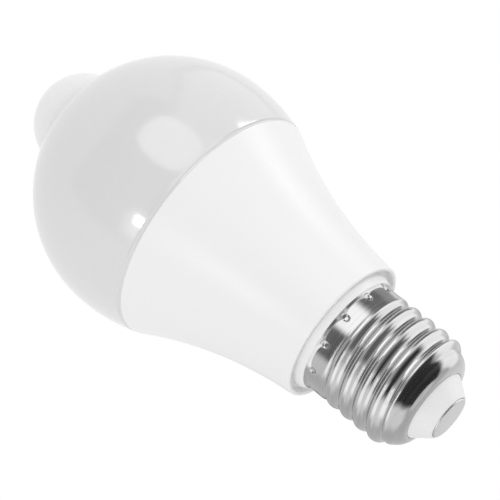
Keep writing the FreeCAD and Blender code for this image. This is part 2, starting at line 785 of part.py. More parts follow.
def around(circle, angle):
    """Expressions for a place on a circle about the axis."""
    return ("(%s) * %.9f" % (circle, math.cos(math.radians(angle))),
            "(%s) * %.9f" % (circle, math.sin(math.radians(angle))))


def led_chips():
    """The lamps, evenly spaced in the ring that they share with the board's screws."""
    screw_count = int(number("board_screw_count"))
    places = int(number("led_count")) + screw_count
    screw_places = [places * screw // screw_count for screw in range(screw_count)]
    chips = []
    for position in range(places):
        if position in screw_places:
            continue
        angle = 360 * position / places
        x, y = around("led_circle_radius", angle)
        chips.append(block("led_chip_%d" % position, "led_width", "led_length", "led_height",
                           x, y, "led_board_top", angle))
    return group("led_chips", chips)


def screws(label, count, circle, radius, length, head_radius, head_height, seat):
    """Identical screws round the axis, each with its head on the seat."""
    members = []
    for position in range(int(number(count))):
        x, y = around(circle, 360 * position / number(count))
        name = "%s_%d" % (label, position)
        shank = rod(name + "_shank", radius, length, x, y, "%s - %s" % (seat, length))
        head = rod(name + "_head", head_radius, head_height, x, y, seat)
        members.append(fused(name, head, shank))
    return group(label, members)


def sensor_post():
    body = new_body("sensor_post")
    bore = "(post_radius - post_wall)"
    board_fit = "(sensor_board_radius + loose_gap)"
    cone_top = "(sensor_board_rise - post_wall)"
    turn(body, [
        (bore, "led_board_top"),
        ("post_foot_radius", "led_board_top"),
        ("post_foot_radius", "led_board_top + post_foot_thickness"),
        ("post_radius", "led_board_top + post_foot_thickness"),
        ("post_radius", cone_top + " - post_cup_cone_height"),
        ("post_cup_radius", cone_top),
        ("post_cup_radius", "post_rim_rise"),
        (board_fit, "post_rim_rise"),
        (board_fit, "sensor_board_rise"),
        ("sensor_board_radius - post_wall", "sensor_board_rise"),
        (bore, cone_top + " - post_cup_cone_height"),
    ])
    sketch = new_sketch(body, "XY_Plane", "PostScrewHoleCircle")
    bind(sketch, "AttachmentOffset.Base.z", "led_board_top + post_foot_thickness")
    draw_circle(sketch, "post_screw_circle_radius", "0", "post_screw_radius + slip_gap")
    hole = body.newObject("PartDesign::Pocket", "PostScrewHole")
    hole.Profile = sketch
    bind(hole, "Length", "post_foot_thickness")
    doc.recompute()
    repeat(body, [hole], "post_screw_count", "PostScrewHoles")
    return body


def sensor_board():
    return rod("sensor_board", "sensor_board_radius", "sensor_board_thickness", "0", "0", "sensor_board_rise")


def heat_sensor():
    base = rod("heat_sensor_base", "sensor_base_radius", "sensor_base_thickness", "0", "0",
               "sensor_board_top")
    can = rod("heat_sensor_can", "sensor_can_radius", "sensor_can_height", "0", "0", "sensor_base_top")
    return fused("heat_sensor", base, can)


def sensor_window():
    return block("sensor_window", "sensor_window_length", "sensor_window_width", "sensor_window_proud",
                 "0", "0", "sensor_base_top + sensor_can_height")


def light_sensor():
    return rod("light_sensor", "light_sensor_radius", "light_sensor_height", "0", "-light_sensor_offset",
               "sensor_board_top")


def sensor_chip():
    return block("sensor_chip", "sensor_chip_length", "sensor_chip_width", "sensor_chip_height",
                 "0", "sensor_chip_width", "sensor_board_rise - sensor_chip_height")


def driver_board():
    body = new_body("driver_board")
    sketch = new_sketch(body, "XZ_Plane", "BoardOutline")
    draw_outline(sketch, [
        ("-driver_board_foot_width / 2", "driver_board_foot_rise"),
        ("driver_board_foot_width / 2", "driver_board_foot_rise"),
        ("driver_board_foot_width / 2", "driver_board_step_rise"),
        ("driver_board_width / 2", "driver_board_step_rise"),
        ("driver_board_width / 2", "driver_board_top_rise"),
        ("-driver_board_width / 2", "driver_board_top_rise"),
        ("-driver_board_width / 2", "driver_board_step_rise"),
        ("-driver_board_foot_width / 2", "driver_board_step_rise"),
    ])
    pad = body.newObject("PartDesign::Pad", "Board")
    pad.Profile = sketch
    pad.Midplane = True
    bind(pad, "Length", "driver_board_thickness")
    doc.recompute()
    return body


def transformer_bobbin():
    return block("transformer_bobbin", "transformer_length - 2 * transformer_core_thickness",
                 "transformer_depth", "transformer_height - 2 * transformer_core_thickness",
                 "transformer_offset", "driver_board_face + transformer_depth / 2",
                 "transformer_rise + transformer_core_thickness")


def transformer_core():
    middle = "driver_board_face + transformer_depth / 2"
    outside = block("transformer_core_outside", "transformer_length", "transformer_core_depth",
                    "transformer_height", "transformer_offset", middle, "transformer_rise")
    inside = block("transformer_core_inside", "transformer_length - 2 * transformer_core_thickness",
                   "transformer_depth", "transformer_height - 2 * transformer_core_thickness",
                   "transformer_offset", middle, "transformer_rise + transformer_core_thickness")
    core = doc.addObject("Part::Cut", "transformer_core")
    core.Label = "transformer_core"
    core.Base = outside
    core.Tool = inside
    return core


def capacitor(label, radius, height, x, y, z):
    """An upright can with a rolled groove near its foot and rounded ends."""
    body = new_body(label)
    soft = "capacitor_edge_round"
    groove = "capacitor_groove_rise"
    turn(body, [
        ("0", "0"),
        ("%s - %s" % (radius, soft), "0", soft, "left"),
        (radius, soft),
        (radius, groove),
        ("%s - %s" % (radius, soft), "%s + %s" % (groove, soft)),
        (radius, "%s + 2 * %s" % (groove, soft)),
        (radius, "%s - %s" % (height, soft), soft, "left"),
        ("%s - %s" % (radius, soft), height),
        ("0", height),
    ])
    place(body, x, y, z)
    return body


def wire(label, radius, points, bends):
    """A round wire along straight runs in the YZ plane, joined by tangent arcs."""
    feature = doc.addObject("Part::Feature", label)
    feature.Label = label
    spots = [FreeCAD.Vector(0, number(y), number(z)) for y, z in points]
    edges = []
    here = spots[0]
    for before, corner, after, bend in zip(spots, spots[1:], spots[2:], bends):
        inward = (before - corner).normalize()
        outward = (after - corner).normalize()
        half_angle = inward.getAngle(outward) / 2
        setback = number(bend) / math.tan(half_angle)
        first = corner + inward * setback
        last = corner + outward * setback
        bisector = (inward + outward).normalize()
        middle = corner + bisector * (number(bend) / math.sin(half_angle) - number(bend))
        edges.append(Part.LineSegment(here, first).toShape())
        edges.append(Part.Arc(first, middle, last).toShape())
        here = last
    edges.append(Part.LineSegment(here, spots[-1]).toShape())
    path = Part.Wire(edges)
    start = Part.Circle(spots[0], spots[1] - spots[0], number(radius)).toShape()
    feature.Shape = path.makePipeShell([Part.Wire([start])], True, False)
    return feature


def live_wire():
    side = "(-driver_board_face - wire_radius - slip_gap)"
    pin_floor = "contact_thickness + contact_pin_length - contact_bore_depth + loose_gap"
    pin_top = "contact_thickness + contact_pin_length"
    return wire("live_wire", "wire_radius", [
        (side, "live_wire_top_rise"),
        (side, "driver_board_foot_rise - slip_gap"),
        ("0", pin_top + " + live_wire_bend_radius / 2"),
        ("0", pin_floor),
    ], ["live_wire_bend_radius", "live_wire_bend_radius"])


def neutral_wire():
    side = "(driver_board_face + wire_radius + slip_gap)"
    slot = "(thread_root_radius - shell_sheet - wire_radius - slip_gap)"
    return wire("neutral_wire", "wire_radius", [
        (side, "neutral_wire_top_rise"),
        (side, "neutral_wire_low_rise"),
        (slot, "neutral_wire_low_rise"),
        (slot, "neutral_slot_top_rise - loose_gap"),
    ], ["neutral_wire_bend_radius", "neutral_wire_bend_radius"])


def sensor_leads():
    leads = []
    for position in (-1, 0, 1):
        leads.append(rod("sensor_lead_%d" % (position + 2), "sensor_lead_radius",
                         "sensor_board_rise - led_board_top", "%d * sensor_lead_spacing" % position,
                         "-driver_board_face - header_depth / 2", "led_board_top"))
    return group("sensor_leads", leads)


def small_parts():
    """The plain blocks and cans on the driver board."""
    front = "driver_board_face + %s / 2"
    back = "-driver_board_face - %s / 2"
    return [
        capacitor("bulk_capacitor", "bulk_capacitor_radius", "bulk_capacitor_height",
                  "bulk_capacitor_offset", "driver_board_face + bulk_capacitor_radius",
                  "bulk_capacitor_rise"),
        capacitor("output_capacitor", "output_capacitor_radius", "output_capacitor_height",
                  "output_capacitor_offset", "-driver_board_face - output_capacitor_radius",
                  "output_capacitor_rise"),
        block("film_capacitor", "film_capacitor_length", "film_capacitor_thickness",
              "film_capacitor_height", "film_capacitor_offset", back % "film_capacitor_thickness",
              "film_capacitor_rise"),
        rod("fusible_resistor", "fusible_resistor_radius", "fusible_resistor_height",
            "fusible_resistor_offset", "-driver_board_face - fusible_resistor_radius",
            "fusible_resistor_rise"),
        block("bridge_rectifier", "bridge_length", "bridge_depth", "bridge_height", "0",
              front % "bridge_depth", "bridge_rise"),
        block("driver_chip", "driver_chip_length", "driver_chip_depth", "driver_chip_height",
              "driver_chip_offset", back % "driver_chip_depth", "driver_chip_rise"),
        block("board_connector", "header_length", "header_depth",
              "led_board_top - driver_board_top_rise + header_overlap", "0", back % "header_depth",
              "driver_board_top_rise - header_overlap"),
    ]


def build_parts():
    parts = [centre_contact(), cap_insulator(), screw_shell(), housing(), heat_sink_cup(), led_board(),
             led_chips()]
    parts.append(screws("board_screws", "board_screw_count", "led_circle_radius",
                        "board_screw_radius", "board_screw_length", "board_screw_head_radius",
                        "board_screw_head_height", "led_board_top"))
    parts.append(sensor_post())
    parts.append(screws("post_screws", "post_screw_count", "post_screw_circle_radius",
                        "post_screw_radius", "post_screw_length", "post_screw_head_radius",
                        "post_screw_head_height", "(led_board_top + post_foot_thickness)"))
    parts += [sensor_board(), heat_sensor(), sensor_window(), light_sensor(), sensor_chip(),
              sensor_leads(), sensor_dome(), diffuser(), driver_board(), transformer_core(),
              transformer_bobbin()]
    parts += small_parts()
    parts += [live_wire(), neutral_wire()]
    return parts


def check_document():
    for item in doc.Objects:
        if "Invalid" in item.State or "Error" in item.State:
            raise RuntimeError("%s is %s" % (item.Name, item.State))


def write_parts(parts):
    os.makedirs("parts", exist_ok=True)
    for part in parts:
        shape = part.Shape
        if shape.isNull() or not shape.isValid():
            raise RuntimeError("bad shape: " + part.Label)
        print("%s: %d solids, %.1f mm3" % (part.Label, len(shape.Solids), shape.Volume))
        shape.exportStep("parts/%s.step" % part.Label)


finished_parts = build_parts()
doc.recompute()
check_document()
write_parts(finished_parts)
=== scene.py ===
import json
import math

import bmesh
import bpy
from mathutils import Matrix, Vector


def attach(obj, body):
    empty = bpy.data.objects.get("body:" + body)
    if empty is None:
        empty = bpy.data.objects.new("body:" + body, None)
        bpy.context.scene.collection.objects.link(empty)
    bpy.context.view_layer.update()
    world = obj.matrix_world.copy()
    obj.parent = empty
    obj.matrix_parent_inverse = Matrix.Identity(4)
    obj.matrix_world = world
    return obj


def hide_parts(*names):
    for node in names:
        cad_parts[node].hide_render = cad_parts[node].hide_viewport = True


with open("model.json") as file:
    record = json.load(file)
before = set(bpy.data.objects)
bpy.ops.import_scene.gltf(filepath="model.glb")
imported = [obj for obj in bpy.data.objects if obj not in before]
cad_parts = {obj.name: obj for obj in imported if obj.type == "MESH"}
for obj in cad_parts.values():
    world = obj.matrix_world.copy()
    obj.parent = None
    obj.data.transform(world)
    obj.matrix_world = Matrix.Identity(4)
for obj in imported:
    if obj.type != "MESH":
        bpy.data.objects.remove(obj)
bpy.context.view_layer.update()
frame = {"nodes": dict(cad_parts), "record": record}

# Motion sensor LED lamp: finishes, smooth outer pieces, light and camera.
# Same frame as the model: origin at the middle of the centre contact's face, +Z to the sensor dome.
# Sizes below are in millimetres and angles in degrees; MM turns them into metres.

MM = 0.001

# Screw shell
SHEET = 0.3
MOUTH_RADIUS = 8.1
MOUTH_MARGIN = 0.02
SHELL_END = 4.1
SHOULDER_ROUND = 3.5
SHOULDER_BLEND_BELOW = 0.6
SHOULDER_BLEND_ABOVE = 1.6
ROOT_RADIUS = 12.2
CREST_RADIUS = 13.12
PITCH = 3.629
CREST_RISE = 21.7
THREAD_TILT = 0.5
THREAD_TILT_ANGLE = 30.0
LOWER_FLANK = 2.05
THREAD_FOOT_START = 5.6
THREAD_FOOT_END = 8.2
THREAD_HEAD_START = 21.4
THREAD_HEAD_END = 23.4
SKIRT_RADIUS = 12.95
SKIRT_START = 22.0
SKIRT_END = 27.3
RIM_FLARE = 0.46
RIM_FLARE_START = 26.5
RIM_FLARE_DIP = 0.75
RIM_FLARE_DIP_WIDTH = 1.2
RIM_BEND = 0.3
RIM_CROWN = 0.08
PUNCH_COUNT = 12
PUNCH_ANGLE = 11.5
PUNCH_RISE = 25.6
PUNCH_RADIUS = 0.8
PUNCH_DEPTH = 0.26

# Shares of a punch mark's radius, and the raised ring around it
PUNCH_FLOOR = 0.45
PUNCH_REACH = 1.6
PUNCH_RING = 1.15
PUNCH_RING_WIDTH = 0.15
PUNCH_RING_HEIGHT = 0.03

# Mesh of the shell: columns crowd at the punch marks, rows at the rim
SHELL_COLUMNS = 408
COLUMN_CROWDING = 0.6
SHOULDER_TURN_START = -90
SHOULDER_TURN_END = -10
SHOULDER_TURN_STEP = 4
SHELL_ROW = 0.15
RIM_ROW = 0.06
RIM_ROWS_START = 25.7
SHELL_INNER_ROWS = 40

# Housing
SPIGOT_START = 9.4
SPIGOT_BORE = 10.3
SPIGOT_RADIUS = 11.6
SPIGOT_SKIRT_RADIUS = 12.55
SPIGOT_CONE_HEIGHT = 1.2
COLLAR_RADIUS = 14.1
COLLAR_FOOT_RADIUS = 13.5
COLLAR_FOOT_DROP = 0.1
COLLAR_FOOT_ROUND = 0.05
COLLAR_CONE_HEIGHT = 1.4
COLLAR_CONE_ROUND = 0.3
HOUSING_EDGE_ROUND = 0.12
LIP_RISE = 28.0
LIP_INNER_RADIUS = 15.4
LIP_ROUND = 0.95
LIP_STEPS = 14
GROOVE_DEPTH = 2.3
GROOVE_ROUND = 0.4
NECK_CURVE_RADIUS = 95.7
NECK_STEPS = 90
NECK_INNER_STEPS = 24
SEAM_RISE = 65.3
SEAM_RADIUS = 27.7
WALL = 1.4
NECK_FLOOR = 31.9
SEAT_DEPTH = 2.0
SEAT_RADIUS = 25.7

# Broken edge of the housing at the seam: three points, each with its depth or inset
SEAM_EDGE_DEPTH = 0.15
SEAM_MIDDLE_DEPTH = 0.03
SEAM_MIDDLE_INSET = 0.02
SEAM_TOP_INSET = 0.06

# Diffuser
GLOBE_RADIUS = 29.995
GLOBE_CENTRE = 78.5
GLOBE_STEPS = 110
GLOBE_INNER_STEPS = 40
GLOBE_FOOT_STEPS = 40
GLOBE_FOOT_INNER_STEPS = 12
TONGUE_RADIUS = 25.6
TONGUE_WALL = 1.1
TONGUE_LENGTH = 1.8
BEAD = 0.05
BEAD_STEPS = 6
RIM_HEIGHT = 0.45
RIM_BLEND = 1.5
OPENING_RADIUS = 11.63
OPENING_EDGE = 0.03

# Sensor dome
DOME_RADIUS = 11.6
DOME_CENTRE = 106.0
DOME_WALL = 0.7
DOME_STEPS = 60
DOME_INNER_STEPS = 30
DOME_FLANGE_RADIUS = 13.0
DOME_FLANGE_TOP = 103.8
DOME_FLANGE_FOOT = 102.6

# Centre contact
CONTACT_RADIUS = 4.8
CONTACT_THICKNESS = 0.8
CONTACT_ROUND = 0.25
CONTACT_STEPS = 10
PIN_RADIUS = 1.5
PIN_LENGTH = 6.6

# Insulator
SEAT_CLEARANCE = 0.1
TIP_RADIUS = 5.2
TIP_RISE = 0.35
TIP_ROUND = 0.12
TIP_INNER_ROUND = 0.03
INSULATOR_WALL = 1.3
INSULATOR_BASE_RADIUS = 8.0
INSULATOR_BASE_ROUND = 0.1
INSULATOR_EDGE_ROUND = 0.05
INSULATOR_CORNER_SHIFT = 0.1
INSULATOR_FILLET_STEPS = 3
FLANGE_RADIUS = 9.2
FLANGE_START = 4.8
FLANGE_END = 6.2
BOSS_RADIUS = 2.7
BOSS_HEIGHT = 4.9

# Camera of the photograph, 500 pixels wide, with its focal length in pixels
PHOTO_WIDTH = 500
FOCAL_PIXELS = 1650
SENSOR_WIDTH = 36.0
CAMERA_NEAR = 10.0
CAMERA_PLACE = (0.0, -320.54, -79.73)
CAMERA_FORWARD = (0.00344, 0.92065, 0.39036)
CAMERA_UP = (0.77812, -0.24766, 0.57723)

# Meshes and textures in general
LATHE_COLUMNS = 256
SMALL_LATHE_COLUMNS = 192
FILLET_STEPS = 6
SHARP_ANGLE = 40.0
NOISE_DETAIL = 4.0
NOISE_LOW = 0.3
NOISE_HIGH = 0.7
GRAIN_RELIEF = 0.3

# Floor, light from around, and the cards with their usual distances and middles
FLOOR_RISE = -700.0
FLOOR_HALF = 600.0
FLOOR_GRAIN = 60
FLOOR_DARK = 0.86
FLOOR_LIGHT = 0.88
FLOOR_ROUGHNESS = 0.9
SKY_FADE_START = -0.35
SKY_FADE_END = 0.6
SKY_LOW_LEVEL = 1.0
SKY_HIGH_LEVEL = 0.82
CARD_COLUMNS = 32
CARD_ROWS = 24
GLOBE_CARD_DISTANCE = 700
CAP_CARD_DISTANCE = 80
CAP_CENTRE = 15
CAP_TIP_CENTRE = 6


def smoothstep(low, high, value):
    share = min(max((value - low) / (high - low), 0.0), 1.0)
    return share * share * (3 - 2 * share)


def spaced(start, end, steps):
    """Even values from start to end, both of them included."""
    return [start + (end - start) * step / steps for step in range(steps + 1)]


# Outlines: lists of (radius, height) corners and curves between them

def arc(centre, radius, start, end, steps):
    """Points on a circle about a centre, between two angles counted from the radius direction."""
    turns = [math.radians(degrees) for degrees in spaced(start, end, steps)]
    return [(centre[0] + radius * math.cos(turn), centre[1] + radius * math.sin(turn)) for turn in turns]


def rounded(before, corner, after, radius, steps):
    """Points of a fillet that replaces a corner."""
    corner = Vector(corner)
    towards = (Vector(before) - corner).normalized()
    away = (Vector(after) - corner).normalized()
    half = towards.angle(away) / 2
    middle = corner + (towards + away).normalized() * (radius / math.sin(half))
    first = corner + towards * (radius / math.tan(half))
    last = corner + away * (radius / math.tan(half))
    points = []
    for share in spaced(0, 1, steps):
        spoke = (first - middle).slerp(last - middle, share).normalized()
        points.append(tuple(middle + spoke * radius))
    return points


def eased(corners, radius, steps=FILLET_STEPS):
    """Closed outline of corners (radius, height) or (radius, height, own radius), each rounded."""
    points = []
    for position, corner in enumerate(corners):
        before = corners[position - 1][:2]
        after = corners[(position + 1) % len(corners)][:2]
        own = corner[2] if len(corner) == 3 else radius
        if own:
            points += rounded(before, corner[:2], after, own, steps)
        else:
            points.append(tuple(corner[:2]))
    return points


def neck_centre():
    """Centre of the neck's hollow curve, which runs from the lip to the seam."""
    foot = Vector((LIP_INNER_RADIUS + LIP_ROUND, LIP_RISE + LIP_ROUND))
    head = Vector((SEAM_RADIUS, SEAM_RISE))
    chord = head - foot
    depth = math.sqrt(NECK_CURVE_RADIUS ** 2 - (chord.length / 2) ** 2)
    return (foot + head) / 2 + Vector((chord.y, -chord.x)).normalized() * depth


NECK_CENTRE = neck_centre()


def neck_radius(rise, inset=0.0):
    """Radius of the neck's hollow curve at a height, moved inwards by an inset."""
    return NECK_CENTRE[0] - math.sqrt((NECK_CURVE_RADIUS + inset) ** 2 - (rise - NECK_CENTRE[1]) ** 2)


def globe_foot_radius(rise, inset=0.0):
    """Radius of the globe at a height below its widest place, moved inwards by an inset."""
    height = GLOBE_CENTRE - SEAM_RISE
    width = GLOBE_RADIUS - SEAM_RADIUS
    curve = (height ** 2 + width ** 2) / (2 * width)
    return GLOBE_RADIUS - curve + math.sqrt((curve - inset) ** 2 - (rise - GLOBE_CENTRE) ** 2)


# Meshes

def new_piece(name, mesh, node, material):
    """Put a smooth piece in the place of a node of the model."""
    mesh.materials.append(material)
    piece = bpy.data.objects.new(name, mesh)
    bpy.context.collection.objects.link(piece)
    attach(piece, "root")
    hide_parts(node)


def finish_mesh(mesh):
    """Turn all faces outwards and shade them smooth between the sharp edges."""
    work = bmesh.new()
    work.from_mesh(mesh)
    bmesh.ops.recalc_face_normals(work, faces=work.faces)
    work.to_mesh(mesh)
    work.free()
    mesh.shade_smooth()
    mesh.set_sharp_from_angle(angle=math.radians(SHARP_ANGLE))


def surface_mesh(name, rings):
    """A closed mesh through rings of points; a ring of one point is a pole."""
    points = []
    starts = []
    for ring in rings:
        starts.append(len(points))
        points += [(x * MM, y * MM, z * MM) for x, y, z in ring]
    faces = []
    unwrapped = []
    count = len(rings)
    for index, lower in enumerate(rings):
        upper = rings[(index + 1) % count]
        low = starts[index]
        high = starts[(index + 1) % count]
        foot, head = index / count, (index + 1) / count
        columns = max(len(lower), len(upper))
        for column in range(columns):
            following = (column + 1) % columns
            left, right = column / columns, (column + 1) / columns
            if len(lower) == 1 and len(upper) == 1:
                continue
            if len(lower) == 1:
                faces.append((low, high + following, high + column))
                unwrapped += [(left, foot), (right, head), (left, head)]
            elif len(upper) == 1:
                faces.append((low + column, low + following, high))
                unwrapped += [(left, foot), (right, foot), (left, head)]
            else:
                faces.append((low + column, low + following, high + following, high + column))
                unwrapped += [(left, foot), (right, foot), (right, head), (left, head)]
    mesh = bpy.data.meshes.new(name)
    mesh.from_pydata(points, [], faces)
    layer = mesh.uv_layers.new(name="Wrap")
    for position, place in enumerate(unwrapped):
        layer.data[position].uv = place
    finish_mesh(mesh)
    return mesh


def ring_point(radius, turn, rise):
    """A point at a radius and a turn in radians, counted from -Y towards +X."""
    return radius * math.sin(turn), -radius * math.cos(turn), rise


def turned_mesh(name, outline, columns):
    """Turn a closed outline about the lamp's axis."""
    turns = [2 * math.pi * column / columns for column in range(columns)]
    rings = []
    for radius, rise in outline:
        if radius == 0:
            rings.append([(0.0, 0.0, rise)])
        else:
            rings.append([ring_point(radius, turn, rise) for turn in turns])
    return surface_mesh(name, rings)


# Outer pieces

def housing_outline():
    groove_top = LIP_RISE + GROOVE_DEPTH
    lip_edge = LIP_RISE + LIP_ROUND
    collar_foot = SKIRT_END - COLLAR_FOOT_DROP
    seat = SEAM_RISE - SEAT_DEPTH
    outline = eased([
        (SPIGOT_BORE, SPIGOT_START),
        (SPIGOT_RADIUS, SPIGOT_START),
        (SPIGOT_RADIUS, SKIRT_START),
        (SPIGOT_SKIRT_RADIUS, SKIRT_START + SPIGOT_CONE_HEIGHT),
        (SPIGOT_SKIRT_RADIUS, collar_foot),
        (COLLAR_FOOT_RADIUS, collar_foot, COLLAR_FOOT_ROUND),
        (COLLAR_RADIUS, SKIRT_END + COLLAR_CONE_HEIGHT, COLLAR_CONE_ROUND),
        (COLLAR_RADIUS, groove_top, GROOVE_ROUND),
        (LIP_INNER_RADIUS, groove_top, GROOVE_ROUND),
        (LIP_INNER_RADIUS, lip_edge, 0),
    ], HOUSING_EDGE_ROUND)
    lip_middle = (LIP_INNER_RADIUS + LIP_ROUND / 2, lip_edge)
    outline += arc(lip_middle, LIP_ROUND / 2, 180, 360, LIP_STEPS)[1:-1]
    for rise in spaced(lip_edge, SEAM_RISE - SEAM_EDGE_DEPTH, NECK_STEPS):
        outline.append((neck_radius(rise), rise))
    outline.append((SEAM_RADIUS - SEAM_MIDDLE_INSET, SEAM_RISE - SEAM_MIDDLE_DEPTH))
    outline.append((SEAM_RADIUS - SEAM_TOP_INSET, SEAM_RISE))
    outline += [(SEAT_RADIUS, SEAM_RISE), (SEAT_RADIUS, seat)]
    for rise in spaced(seat, NECK_FLOOR, NECK_INNER_STEPS):
        outline.append((neck_radius(rise, WALL), rise))
    outline.append((SPIGOT_BORE, NECK_FLOOR))
    return outline


def diffuser_outline():
    middle = (0, GLOBE_CENTRE)
    tongue_end = SEAM_RISE - TONGUE_LENGTH
    tongue_bore = TONGUE_RADIUS - TONGUE_WALL
    ledge = SEAM_RISE + TONGUE_WALL
    outline = [(TONGUE_RADIUS, tongue_end), (TONGUE_RADIUS, SEAM_RISE)]
    outline += arc((SEAM_RADIUS - BEAD, SEAM_RISE + BEAD), BEAD, -90, 0, BEAD_STEPS)
    outline.append((SEAM_RADIUS, SEAM_RISE + RIM_HEIGHT))
    for rise in spaced(SEAM_RISE + RIM_BLEND * RIM_HEIGHT, GLOBE_CENTRE, GLOBE_FOOT_STEPS):
        outline.append((globe_foot_radius(rise), rise))
    top = math.degrees(math.acos((OPENING_RADIUS + OPENING_EDGE) / GLOBE_RADIUS))
    outline += arc(middle, GLOBE_RADIUS, 0, top, GLOBE_STEPS)[1:]
    opening_rise = GLOBE_CENTRE + math.sqrt(GLOBE_RADIUS ** 2 - OPENING_RADIUS ** 2)
    outline.append((OPENING_RADIUS, opening_rise - OPENING_EDGE))
    inner = GLOBE_RADIUS - WALL
    inner_top = math.degrees(math.acos(OPENING_RADIUS / inner))
    outline += arc(middle, inner, inner_top, 0, GLOBE_INNER_STEPS)
    for rise in spaced(GLOBE_CENTRE, ledge, GLOBE_FOOT_INNER_STEPS)[1:]:
        outline.append((globe_foot_radius(rise, WALL), rise))
    outline += [(tongue_bore, ledge), (tongue_bore, tongue_end)]
    return outline


def dome_outline():
    middle = (0, DOME_CENTRE)
    inner = DOME_RADIUS - DOME_WALL
    outline = arc(middle, DOME_RADIUS, 0, 90, DOME_STEPS)[:-1]
    outline += [(0.0, DOME_CENTRE + DOME_RADIUS), (0.0, DOME_CENTRE + inner)]
    outline += arc(middle, inner, 90, 0, DOME_INNER_STEPS)[1:]
    outline += [(inner, DOME_FLANGE_FOOT), (DOME_FLANGE_RADIUS, DOME_FLANGE_FOOT)]
    outline += [(DOME_FLANGE_RADIUS, DOME_FLANGE_TOP), (DOME_RADIUS, DOME_FLANGE_TOP)]
    return outline


def insulator_outline():
    pin = PIN_RADIUS + SEAT_CLEARANCE
    seat = CONTACT_RADIUS + SEAT_CLEARANCE
    inner = INSULATOR_BASE_RADIUS - INSULATOR_WALL
    floor = CONTACT_THICKNESS + INSULATOR_WALL
    return eased([
        (pin, CONTACT_THICKNESS),
        (seat, CONTACT_THICKNESS),
        (seat, TIP_RISE, TIP_INNER_ROUND),
        (TIP_RADIUS, TIP_RISE, TIP_ROUND),
        (INSULATOR_BASE_RADIUS, SHELL_END, INSULATOR_BASE_ROUND),
        (INSULATOR_BASE_RADIUS, FLANGE_START),
        (FLANGE_RADIUS, FLANGE_START),
        (FLANGE_RADIUS, FLANGE_END),
        (inner, FLANGE_END),
        (inner, SHELL_END + INSULATOR_CORNER_SHIFT),
        (TIP_RADIUS - INSULATOR_WALL + INSULATOR_CORNER_SHIFT, floor),
        (BOSS_RADIUS, floor),
        (BOSS_RADIUS, BOSS_HEIGHT),
        (pin, BOSS_HEIGHT),
    ], INSULATOR_EDGE_ROUND, INSULATOR_FILLET_STEPS)


def contact_outline():
    pin_end = CONTACT_THICKNESS + PIN_LENGTH
    outline = [(0.0, 0.0)]
    outline += arc((CONTACT_RADIUS - CONTACT_ROUND, CONTACT_ROUND), CONTACT_ROUND, -90, 0, CONTACT_STEPS)
    outline += [(CONTACT_RADIUS, CONTACT_THICKNESS), (PIN_RADIUS, CONTACT_THICKNESS)]
    outline += [(PIN_RADIUS, pin_end), (0.0, pin_end)]
    return outline


# Rolled screw shell

def ridge(offset):
    """Height of the thread over its root at a distance from a crest; below the crest is negative."""
    depth = CREST_RADIUS - ROOT_RADIUS
    flank = LOWER_FLANK if offset < 0 else PITCH - LOWER_FLANK
    curve = (flank ** 2 + depth ** 2) / (4 * depth)
    away = abs(offset)
    if away <= flank / 2:
        return depth - curve + math.sqrt(curve ** 2 - away ** 2)
    return curve - math.sqrt(curve ** 2 - (flank - away) ** 2)


def flare_share(run, length):
    """Share of the rim's flare after a run from its foot: a short bend, then straight."""
    if run <= 0:
        return 0.0
    slope = 1 / (length - RIM_BEND / 2)
    if run < RIM_BEND:
        return slope * run ** 2 / (2 * RIM_BEND)
    return slope * (run - RIM_BEND / 2)


def punch_distance(angle):
    """Distance around the skirt from the nearest punch mark."""
    step = 360 / PUNCH_COUNT
    turns = (angle - PUNCH_ANGLE) / step
    return math.radians((turns - round(turns)) * step) * SKIRT_RADIUS


def shell_radius(rise, angle):
    """Outer radius of the shell at a height and an angle counted from -Y towards +X."""
    shoulder_top = SHELL_END + SHOULDER_ROUND
    reach = SHOULDER_ROUND ** 2 - min(rise - shoulder_top, 0.0) ** 2
    plain = MOUTH_RADIUS + math.sqrt(max(reach, 0.0))
    blend_start = shoulder_top - SHOULDER_BLEND_BELOW
    plain += (ROOT_RADIUS - plain) * smoothstep(blend_start, shoulder_top + SHOULDER_BLEND_ABOVE, rise)
    crest = CREST_RISE + THREAD_TILT * math.cos(math.radians(angle - THREAD_TILT_ANGLE))
    phase = (rise - crest) / PITCH - angle / 360
    offset = (phase % 1) * PITCH
    if offset > PITCH - LOWER_FLANK:
        offset -= PITCH
    threaded = plain + ridge(offset) * smoothstep(THREAD_FOOT_START, THREAD_FOOT_END, rise)
    dip = RIM_FLARE_DIP * math.exp(-(punch_distance(angle) / RIM_FLARE_DIP_WIDTH) ** 2)
    flare_start = RIM_FLARE_START - dip
    skirt = SKIRT_RADIUS + RIM_FLARE * flare_share(rise - flare_start, SKIRT_END - flare_start)
    return threaded + (skirt - threaded) * smoothstep(THREAD_HEAD_START, THREAD_HEAD_END, rise)


def shell_columns():
    """Angles of the mesh's columns, close together at the punch marks."""
    sector = SHELL_COLUMNS // PUNCH_COUNT
    step = 360 / PUNCH_COUNT
    angles = []
    for mark in range(PUNCH_COUNT):
        for column in range(sector):
            share = column / sector
            share -= COLUMN_CROWDING * math.sin(2 * math.pi * share) / (2 * math.pi)
            angles.append(PUNCH_ANGLE + step * (mark + share))
    return angles


def shell_point(rise, angle):
    """A point of the outer face, with the punch marks pressed in."""
    radius = shell_radius(rise, angle)
    distance = math.hypot(punch_distance(angle), rise - PUNCH_RISE)
    if distance < PUNCH_RADIUS * PUNCH_REACH:
        cup = 1 - smoothstep(PUNCH_FLOOR * PUNCH_RADIUS, PUNCH_RADIUS, distance)
        lift = math.exp(-((distance - PUNCH_RADIUS * PUNCH_RING) / PUNCH_RING_WIDTH) ** 2)
        radius += PUNCH_RING_HEIGHT * lift - PUNCH_DEPTH * cup
    return ring_point(radius, math.radians(angle), rise)


